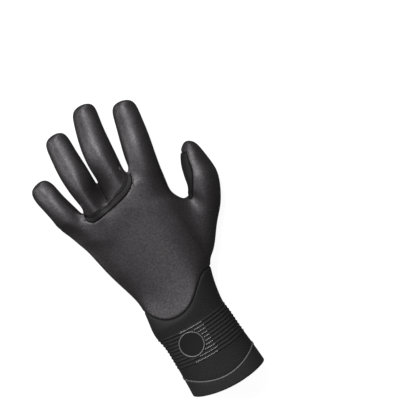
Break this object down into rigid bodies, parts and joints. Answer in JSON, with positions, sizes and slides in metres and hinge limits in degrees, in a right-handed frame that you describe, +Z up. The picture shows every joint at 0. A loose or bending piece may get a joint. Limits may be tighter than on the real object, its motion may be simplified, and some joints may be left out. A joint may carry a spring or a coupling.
{
  "type": "diving glove",
  "caption": "Left-hand neoprene diving glove with separate fingers, a grip-patterned palm, a taped knuckle seam and a long ribbed cuff, lying flat on its palm.",
  "frame": {"origin": "middle of the flat face under the palm, on which the glove rests", "axes": "+Z up out of the back of the hand, +Y from the cuff to the fingertips, +X to the thumb side"},
  "size_m": [0.1598, 0.2909, 0.0394],
  "materials": {
    "back_neoprene": "satin, finely meshed skin of closed-cell foam rubber",
    "finger_neoprene": "satin, finely meshed skin of closed-cell foam rubber",
    "palm_grip": "matte knit face over foam rubber, with a printed grip of fine slanting ribs",
    "seam_tape": "satin liquid seam tape",
    "cuff_knit": "matte close knit over foam rubber",
    "hem_knit": "matte close knit over foam rubber",
    "hem_tape": "satin bonded tape",
    "badge_print": "matte rubber print"
  },
  "bodies": {
    "root": {"back_panel": "back_neoprene", "finger_back_panel": "finger_neoprene", "palm_panel": "palm_grip", "knuckle_tape": "seam_tape", "cuff": "cuff_knit", "hem_band": "hem_knit", "hem_tape": "hem_tape", "badge": "badge_print"}
  },
  "joints": []
}
